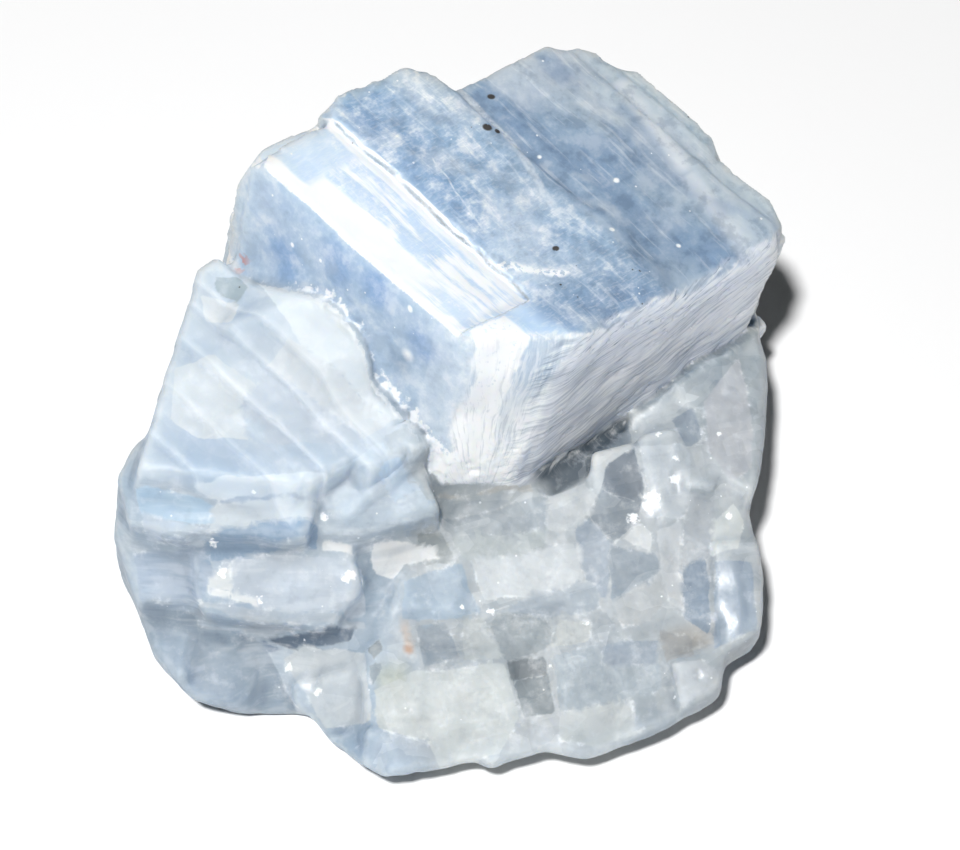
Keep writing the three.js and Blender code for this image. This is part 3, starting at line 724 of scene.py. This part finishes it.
    # rust, tan and greenish stains
    paint.block((-3.8, -19.0, 7.3), (0.35, 1.2, 1.5), (222, 200, 180), 0.6, 0.6)
    paint.block((-3.7, -20.1, 7.0), (0.35, 0.4, 1.0), (210, 156, 112), 0.75, 0.6)
    paint.block((-4.9, -22.9, 5.8), (1.4, 1.8, 1.5), (214, 218, 190), 0.5, 0.5)
    paint.block((20.6, -19.0, 6.8), (2.0, 1.1, 1.4), (184, 176, 164), 0.6, 0.5)
    return z, paint.colour


# Painted highlights: white glints on worn corners and edges. x, y and z of the middle, and the radius, in
# mm.
PAINTED_GLINTS = [
    (-20.4, -12.6, 13.3, 0.45), (-12, -13, 14.3, 0.4), (-8.6, -14.7, 11.4, 0.6), (-9.2, -15, 11.2, 0.5),
    (-16.3, -16.6, 10.2, 0.5), (-9.8, -13.5, 12.2, 0.3), (-10.9, -10.9, 14.9, 0.5),
    (-16.8, -10, 17.8, 0.3), (0.9, -16.6, 8.9, 0.35), (-19.7, -14.6, 11.5, 0.6),
    (19.7, -4.2, 12.9, 0.5), (19.4, -6, 12.5, 0.55), (17.6, -7.8, 12.2, 0.9), (23.5, -7.3, 11.7, 0.3),
    (18.2, -2, 13.8, 0.4), (23.6, -1.7, 13, 0.4), (24.2, -9, 11.4, 0.4), (18.3, -15.6, 9.1, 0.25),
    (3.4, -16.9, 8.9, 0.45), (11.7, -17.9, 8.3, 0.4), (8.6, -21.3, 6.5, 0.4), (15.9, -9.2, 11.1, 0.7),
    (21.5, -22.4, 7.2, 0.35), (-12.9, -18.5, 6.2, 0.3), (-14.3, -20.2, 4.2, 0.5),
    (-11.6, -22.5, 4.2, 0.5), (-7.4, -15.1, 8.8, 0.3),
]


def painted_glint_distance(points):
    """Distance from the nearest painted highlight, where 1 is at its border. They are taller than wide."""
    nearest = np.full(len(points), 9.0)
    for x, y, z, radius in PAINTED_GLINTS:
        away = np.linalg.norm((points - (x, y, z)) * (1, 1, 0.4), axis=1) / radius
        nearest = np.minimum(nearest, away)
    return nearest


def attribute(name, *columns):
    """Give each vertex of the stone a number, a vector or a colour."""
    values = np.column_stack(columns)
    kinds = {1: ("FLOAT", "value"), 3: ("FLOAT_VECTOR", "vector"), 4: ("FLOAT_COLOR", "color")}
    kind, field = kinds[values.shape[1]]
    layer = mesh.attributes.new(name, kind, "POINT")
    layer.data.foreach_set(field, values.astype(np.float32).ravel())


zones, colour = tints(points, normals)
light = SKIRT_LIGHT + (1 - SKIRT_LIGHT) * zones.shoulder
grain_colour, inside = outlined_grains(points, light, colour)
inside = np.where(zones.crown > 0.5, -9, inside)
opaque = np.ones(len(points))
edge_share = np.clip(sampled(*edges, points) / SHARP_EDGE, -1, 1)
attribute("tint", colour, opaque)
attribute("grain_tint", grain_colour, opaque)
attribute("crystal", zones.abc)
# distance from the painted highlights (white glints)
attribute("painted_glint", painted_glint_distance(points))
attribute("crown_zones", zones.top, zones.left, zones.right)
attribute("other_zones", zones.broken, zones.shoulder, zones.skirt * (1 - zones.plates))
# edge: above 0 on sharp outer edges, below 0 in creases; it places painted edge highlights and crease shade
attribute("wear", zones.plates, edge_share, gloss_of(points, normals))
attribute("lines", below_rim(zones), striation(zones), inside)

# Where each point lies among the grains of the skirt: turned, and bent so that no grain is regular.
# On the shoulder they are the pieces of its thin plates.
grains = points @ GRAIN_TURN + 0.25 * vector_noise(points, 3.0, 131)
pieces = np.stack([0.75 * zones.a, 1.25 * zones.b, 0.1 * zones.c], 1)
grains = np.where(zones.shoulder[:, None] > 0.5, pieces, grains)
attribute("grain", grains)

# On the broken corner: width across the fan of lines, depth into the stone, and distance from its foot.
reach = 20.0 - zones.c
spread = np.stack([14 * np.arctan2(zones.a - zones.b + 2.0, reach), zones.b, reach], 1)
attribute("fan", spread + 0.35 * vector_noise(points, 2.0, 141))

# ---------------- material

material = bpy.data.materials.new("calcite")
material.use_nodes = True
tree = material.node_tree
bsdf = tree.nodes["Principled BSDF"]


class Field:
    """What a node gives at each point of the surface. Sums and products of fields are nodes too."""

    def __init__(self, socket):
        self.socket = socket

    def __add__(self, other):
        return maths("ADD", self, other)

    def __sub__(self, other):
        return maths("SUBTRACT", self, other)

    def __rsub__(self, other):
        return maths("SUBTRACT", other, self)

    def __mul__(self, other):
        return maths("MULTIPLY", self, other)

    def __truediv__(self, other):
        return maths("DIVIDE", self, other)

    __rmul__ = __mul__


def feed(socket, value):
    """Link a field to a socket, or set a plain value on it."""
    if isinstance(value, Field):
        tree.links.new(value.socket, socket)
    else:
        socket.default_value = value


def node(kind, inputs, **settings):
    """The outputs of a new node, given its settings and what goes into its inputs."""
    made = tree.nodes.new(kind)
    for name, value in settings.items():
        setattr(made, name, value)
    for name, value in inputs.items():
        feed(made.inputs[name], value)
    return made.outputs


def maths(operation, *values):
    return Field(node("ShaderNodeMath", dict(enumerate(values)), operation=operation)[0])


def vector_maths(operation, *values, output=0):
    return Field(node("ShaderNodeVectorMath", dict(enumerate(values)), operation=operation)[output])


def largest(first, *others):
    for other in others:
        first = maths("MAXIMUM", first, other)
    return first


def ramp(value, low, high, start=0.0, end=1.0):
    """Smoothly from start at low to end at high. Low may be above high."""
    inputs = {"Value": value, "From Min": low, "From Max": high, "To Min": start, "To Max": end}
    return Field(node("ShaderNodeMapRange", inputs, interpolation_type="SMOOTHSTEP")["Result"])


def within(value, low, high, edge):
    """1 between low and high, fading over edge at both ends."""
    return ramp(value, low - edge, low + edge) * ramp(value, high + edge, high - edge)


def clouds(vector, sides, detail=3.0, roughness=0.5):
    """Noise whose features are about as long as the given sides, in mm."""
    scaled = vector_maths("DIVIDE", vector, sides)
    inputs = {"Vector": scaled, "Scale": 1.0, "Detail": detail, "Roughness": roughness}
    return Field(node("ShaderNodeTexNoise", inputs)[0])


def parts_of(vector):
    return [Field(socket) for socket in node("ShaderNodeSeparateXYZ", {0: vector})]


def cells(vector, sides, metric="EUCLIDEAN", randomness=1.0):
    """Three random numbers for each cell, and the distance from its middle. Sides are in mm."""
    scaled = vector_maths("DIVIDE", vector, sides)
    inputs = {"Vector": scaled, "Scale": 1.0, "Randomness": randomness}
    made = node("ShaderNodeTexVoronoi", inputs, distance=metric)
    return parts_of(Field(made["Color"])), Field(made["Distance"])


def mixed(share, first, second, blend="MIX"):
    inputs = {"Factor": share, 6: first, 7: second}
    return Field(node("ShaderNodeMix", inputs, data_type="RGBA", blend_type=blend)[2])


def attribute_of(name, output="Vector"):
    return Field(node("ShaderNodeAttribute", {}, attribute_name=name)[output])


def shade(*srgb):
    return (*seen(*srgb), 1.0)


def near(vector, centre, radius, soft=0.4):
    """1 near a place, fading to 0 over the outer part of the radius."""
    return ramp(vector_maths("DISTANCE", vector, centre, output=1), radius, radius * (1 - soft))


crystal_mm, grain_mm, fan_mm = attribute_of("crystal"), attribute_of("grain"), attribute_of("fan")
along, across, depth = parts_of(crystal_mm)
place = vector_maths("DIVIDE", Field(node("ShaderNodeTexCoord", {})["Object"]), (MM, MM, MM))
on_top, on_left, on_right = parts_of(attribute_of("crown_zones"))
on_break, on_shoulder, on_skirt = parts_of(attribute_of("other_zones"))
on_plates, edge, gloss = parts_of(attribute_of("wear"))
rim_depth, striation_mm, inside_grain = parts_of(attribute_of("lines"))
on_any = on_top + on_left + on_right + on_break + on_shoulder + on_skirt + on_plates
elsewhere = largest(1.0 - on_any, 0.0)
on_lower = largest(on_skirt, on_plates)

# Textures that several parts of the stone share.
wobble = clouds(crystal_mm, (2.5, 2.5, 2.5), 2.0) - 0.5
wisps = clouds(place, (1.9, 1.9, 1.9), 4.0, 0.66)
fine = clouds(place, (0.8, 0.8, 0.8), 3.0)
crumbs = clouds(place, (0.4, 0.4, 0.4), 2.0)
hatch = clouds(crystal_mm, (0.26, 1.0, 1.0), 3.0, 0.6)
thread = clouds(crystal_mm, (6.0, 0.6, 3.0), 3.0, 0.6)


def line(a0, b0, a1, b1, width, soft=0.5):
    """A thin line on the crown's top between two places, along and across."""
    share = (along - a0) / (a1 - a0)
    here = share * (b1 - b0) + b0
    away = maths("ABSOLUTE", across - here + 0.8 * wobble)
    body = ramp(away, width * (1 + soft) / 2, width * (1 - soft) / 2)
    return body * ramp(share, -0.03, 0.05) * ramp(share, 1.03, 0.9)


def ledge_painted_reflection():
    """The bright ledge along the crown's left edge: a painted reflection in white, with faint blue windows.
    """
    # the ledge and its riser are painted white where the light reflects: a painted reflection
    ledge = ramp(across, 7.62, 7.45) * ramp(along + 1.6 * wobble, 5.5, 5.8)
    riser = within(across, 7.2, 7.9, 0.08) * ramp(along, 6, 8)
    inner = across + wobble
    patchy = ramp(thread + 0.5 * wobble, 0.36, 0.58)
    middle = within(inner, 3.3, 6.9, 0.3) * ramp(along, 27, 24.5) * patchy
    first = 0.7 * within(inner, 0.5, 3.2, 0.4) * ramp(along, 13.5, 10.0) * patchy
    last = 0.8 * within(inner, 1.4, 6.8, 0.2) * ramp(along, 24.5, 25.8)
    window = largest(middle, first, last) * ramp(hatch, 0.30, 0.65, 0.7, 1.0)
    return largest(ledge * (1.0 - window), riser)


def top_white():
    """The crown's top, and the broken corner: milky wisps, fine hatching, threads and one long step."""
    left_half = ramp(across, 19.0, 17.0)
    cloudy = ramp(wisps, 0.47, 0.68) * ramp(left_half, 0.0, 1.0, 0.22, 0.58) * ramp(along, 2, 8, 0.5, 1.0)
    fibres = 0.20 * ramp(hatch, 0.50, 0.64) * left_half
    threads = 0.24 * ramp(thread, 0.54, 0.68)
    sharp_lines = largest(
        0.62 * line(27.3, 19.0, 18.7, 18.35, 0.8),
        0.42 * line(18.9, 18.35, 12.3, 16.4, 0.7),
        0.55 * line(21.7, 11.3, 13.2, 9.4, 0.18),
        0.60 * line(2.8, 5.2, 0.7, 5.9, 0.22),
    )
    soft_lines = largest(
        0.50 * line(21.4, 32.4, 9.6, 29.0, 2.0, 0.95),
        0.42 * line(9.9, 29.0, 0.4, 26.8, 1.6, 0.95),
    )
    broken_up = ramp(crumbs, 0.30, 0.55, 0.45, 1.0)
    ridge = line(10.2, 8.0, 6.0, 12.2, 1.5, 0.6) * ramp(crumbs, 0.42, 0.52)
    body = largest(cloudy + fibres + threads, sharp_lines * broken_up, soft_lines, ridge)
    square = within(along + 1.2 * wobble, 2.3, 5.6, 0.12) * within(across, 0.8, 4.4, 0.2)
    patch = square * ramp(crumbs, 0.30, 0.42, 0.6, 0.95)
    return on_top * largest(body, ledge_painted_reflection(), patch) + on_break * patch


def left_white():
    """The crown's left side: white wisps, a pale pane at its end and the crumbled white rim."""
    rim = 0.95 * ramp(rim_depth + 4.0 * (fine - 0.4), -0.35, 0.25)
    # a white spot painted on the left side: a painted highlight
    painted_glint = near(crystal_mm, (10.2, 0.0, 6.2), 0.9, 0.9)
    body = 0.42 * ramp(wisps, 0.44, 0.70) + 0.16 * ramp(along, 8.2, 7.9)
    return on_left * largest(body, painted_glint, rim)


def crown_dark():
    """A shaded dent in the crown's left side, and the clear places between its wisps."""
    dent = 0.30 * near(crystal_mm, (10.8, 0.0, 7.6), 2.0, 0.9)
    clear_side = 0.16 * ramp(wisps, 0.48, 0.34)
    clear_top = 0.30 * ramp(wisps, 0.50, 0.34) * ramp(across, 7.6, 8.6)
    return on_left * (dent + clear_side) + on_top * clear_top


def right_streaks():
    """The crown's right side: fine striations, and short dark pits near its top edge."""
    face = Field(node("ShaderNodeCombineXYZ", {0: across, 1: striation_mm})[0])
    streak = clouds(face, (4.0, 0.36, 1.0), 3.0, 0.62)
    pit = ramp(clouds(face, (1.6, 0.26, 1.0), 2.0, 0.5), 0.62, 0.70)
    deep = 0.38 * ramp(streak, 0.49, 0.36) + pit * ramp(depth, 7.5, 3.0, 0.2, 0.6)
    return 0.55 * on_right * ramp(streak, 0.50, 0.62), on_right * deep


def break_streaks():
    """The broken corner: sugary white, with fine lines that fan out over it."""
    fan = clouds(fan_mm, (0.45, 1.0, 3.2), 3.0, 0.66)
    sugar = ramp(crumbs, 0.44, 0.58) * ramp(depth, 8, 12, 0.1, 0.8)
    pale = largest(0.50 * ramp(fan, 0.49, 0.62), sugar)
    return on_break * pale, on_break * ramp(fan, 0.48, 0.36) * ramp(depth, 2, 8, 0.12, 0.26)


def shoulder_bands():
    """Thin plates: straight bands, crisp on one side and fading on the other."""
    drift = across + 0.12 * wobble
    shady, bright = [], []
    for start, width, _ in BANDS:
        # painted shade: darker just below each step, fading out across its band
        shady.append(ramp(drift, start, start - 0.12) * ramp(drift, start - width, start))
        bright.append(ramp(drift, start, start + 0.12) * ramp(drift, start + 0.6, start))
    rim = 0.85 * ramp(drift, -1.6, -0.6) * ramp(fine, 0.30, 0.48)
    pale = largest(0.22 * ramp(wisps, 0.46, 0.76) + 0.18 * largest(*bright), rim)
    return on_shoulder * pale, 0.10 * on_shoulder * largest(*shady)


def grain_tones():
    """Grains seen through the surface, their seams, the long plates' bedding, and the crown's back."""
    large, _ = cells(grain_mm, (5.4, 3.4, 4.2), "CHEBYCHEV", 0.7)
    small, _ = cells(grain_mm, (2.6, 1.9, 2.2), "CHEBYCHEV", 0.7)
    tone = 0.55 * large[0] + 0.45 * small[0]
    bed = clouds(place, (9.0, 3.0, 0.8), 3.0, 0.6)
    shown = (on_skirt + 0.35 * on_shoulder) * ramp(inside_grain, 0.4, -0.4, 0.55, 1.0)
    border = ramp(maths("ABSOLUTE", inside_grain), 0.26, 0.02)
    seam = 0.45 * border * ramp(fine, 0.40, 0.70) * ramp(wisps, 0.46, 0.62)
    pale = 0.20 * shown * ramp(tone, 0.45, 0.95) + 0.16 * on_plates * ramp(bed, 0.50, 0.66)
    pale += on_lower * (0.26 * ramp(wisps, 0.50, 0.76) + seam)
    pale += elsewhere * (0.45 * ramp(wisps, 0.46, 0.72) + 0.20 * ramp(thread, 0.52, 0.66))
    deep = 0.16 * shown * ramp(tone, 0.55, 0.05) + 0.10 * on_plates * ramp(bed, 0.47, 0.34)
    deep += 0.16 * on_lower * ramp(wisps, 0.48, 0.28) + 0.25 * elsewhere * ramp(wisps, 0.48, 0.32)
    return pale, deep


def edge_whites_and_crease_shade():
    """Edges are milky, partly chipped white and partly a painted highlight, and creases get painted shade.
    """
    crumble = ramp(fine, 0.30, 0.60, 0.3, 1.0)
    quiet = 1.0 - 0.6 * largest(on_top, on_left, on_shoulder, on_lower)
    return 0.45 * ramp(edge, 0.15, 0.9) * crumble * quiet, 0.40 * ramp(edge, -0.15, -0.9) * quiet


# Marks on the crown: along, across and down, and their radius, in mm. First come the dark mineral
# specks on its top, then the white inclusions on its top and on its left side.
SPECKS = [
    (21.9, 17.6, 0, 0.50), (21.2, 18.1, 0, 0.28), (24.7, 20.7, 0, 0.40), (8.9, 13.2, 0, 0.34),
    (3.2, 17.0, 0, 0.14), (5.6, 10.6, 0, 0.12),
]
TOP_INCLUSIONS = [
    (12.1, 23.0, 0, 0.36), (4.1, 22.5, 0, 0.28), (-0.2, 16.3, 0, 0.40), (7.9, 18.4, 0, 0.32),
    (17.6, 19.6, 0, 0.26),
]
SIDE_INCLUSIONS = [(11.0, 0, 1.6, 0.42), (23.8, 0, 5.4, 0.30), (20.6, 0, 4.4, 0.26)]


def spots(plane, places, soft):
    return largest(*[near(plane, (a, b, c), radius, soft) for a, b, c, radius in places])


def marks():
    """Painted highlights as white sparkles and glints, white inclusions, and dark specks."""
    top_plane = vector_maths("MULTIPLY", crystal_mm, (1, 1, 0))
    side_plane = vector_maths("MULTIPLY", crystal_mm, (1, 0, 1))
    pick, away = cells(place, (0.8, 0.8, 0.8))
    flecks = ramp(away / ramp(pick[1], 0.0, 1.0, 0.03, 0.16), 1.1, 0.7)
    # white flecks painted as sparkles of light: painted highlights
    beside_step = 0.55 * within(across, 16.5, 22.0, 1.4) * ramp(along, 27, 24)
    wanted = maths("LESS_THAN", pick[0], largest(beside_step, 0.14))
    painted_sparkle = 0.9 * flecks * wanted * largest(on_top, on_left, on_break, 0.7 * on_lower)
    inclusions = on_top * spots(top_plane, TOP_INCLUSIONS, 0.6)
    inclusions += on_left * spots(side_plane, SIDE_INCLUSIONS, 0.6)
    inclusions *= ramp(crumbs, 0.2, 0.4, 0.6, 1.0)
    specks = on_top * spots(top_plane, SPECKS, 0.4) * ramp(crumbs, 0.30, 0.46)
    # white glints: painted highlights
    painted_glints = ramp(attribute_of("painted_glint", "Fac") + 1.4 * crumbs, 1.6, 1.2)
    dust = 0.8 * flecks * maths("LESS_THAN", pick[2], 0.02) * largest(on_top, on_shoulder)
    return largest(painted_sparkle, inclusions, painted_glints), largest(specks, dust)


white, dark = top_white() + left_white(), crown_dark()
for tones in (right_streaks, break_streaks, shoulder_bands, grain_tones):
    pale, deep = tones()
    white += pale
    dark += deep
chipped_and_highlit_edges, painted_crease_shade = edge_whites_and_crease_shade()
inclusions_and_painted_glints, specks = marks()
stain = near(crystal_mm, (28.6, 0.3, 11.8), 1.7, 0.9) * ramp(fine, 0.52, 0.60)

# The borders of the outlined grains are crisp, and a little ragged.
in_grain = ramp(inside_grain + 0.35 * (fine - 0.5), -0.06, 0.12)
surface = mixed(in_grain, attribute_of("tint", "Color"), attribute_of("grain_tint", "Color"))
# white marks, among them painted highlights: the ledge's reflection, edge highlights and glints
surface = mixed(largest(white, chipped_and_highlit_edges, inclusions_and_painted_glints), surface, shade(247, 250, 252))
# darker marks, and painted shade in the creases
surface = mixed(dark + painted_crease_shade, surface, (0.20, 0.28, 0.38, 1), "MULTIPLY")
surface = mixed(0.96 * specks, surface, shade(66, 60, 54))
surface = mixed(0.65 * stain, surface, shade(208, 128, 112))

matt = ramp(crumbs, 0.35, 0.65, 0.40, 0.50) + 0.12 * largest(on_break, on_shoulder, on_lower)
for name, value in {
    "Base Color": surface,
    "Roughness": matt - 0.22 * gloss,
    "IOR": 1.58,
    "Subsurface Weight": 0.8,
    "Subsurface Radius": (0.8, 1.0, 1.3),
    "Subsurface Scale": 0.004,
}.items():
    feed(bsdf.inputs[name], value)
mesh.materials.clear()
mesh.materials.append(material)

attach(stone, "root")
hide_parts(NODE)

# ---------------- stage

CAMERA_TARGET = Vector((0.0025, -0.0013, 0.014))
CAMERA_RISE = math.radians(60)
CAMERA_DISTANCE = 0.24
KEY_TOWARD = Vector((-0.135, -0.292, 0.947)).normalized()
KEY_DISTANCE = 0.6

floor_mesh = bpy.data.meshes.new("floor")
floor_mesh.from_pydata([(-1, -1, 0), (1, -1, 0), (1, 1, 0), (-1, 1, 0)], [], [(0, 1, 2, 3)])
floor = placed("floor", floor_mesh)
paper = bpy.data.materials.new("paper")
paper.use_nodes = True
paper_inputs = paper.node_tree.nodes["Principled BSDF"].inputs
feed(paper_inputs["Base Color"], (0.93, 0.93, 0.93, 1))
feed(paper_inputs["Roughness"], 0.9)
floor_mesh.materials.append(paper)

camera_data = bpy.data.cameras.new("camera")
camera_data.sensor_width = 36
camera_data.lens = 102.27
camera_data.clip_start = 0.01
camera = placed("camera", camera_data)
back_and_up = Vector((0, -math.cos(CAMERA_RISE), math.sin(CAMERA_RISE)))
camera.location = CAMERA_TARGET + CAMERA_DISTANCE * back_and_up
camera.rotation_euler = (math.radians(90) - CAMERA_RISE, 0, 0)
scene.camera = camera

key_data = bpy.data.lights.new("key", "AREA")
key_data.shape = "DISK"
key_data.size = 0.055
key_data.energy = 4.3
key = placed("key", key_data)
key.location = Vector((0, 0, CAMERA_TARGET.z)) + KEY_DISTANCE * KEY_TOWARD
key.rotation_euler = KEY_TOWARD.to_track_quat("Z", "Y").to_euler()

world = bpy.data.worlds.new("studio")
world.use_nodes = True
sky = world.node_tree.nodes["Background"].inputs
feed(sky["Color"], (1, 1, 1, 1))
feed(sky["Strength"], 0.024)
scene.world = world
scene.view_settings.view_transform = "Standard"
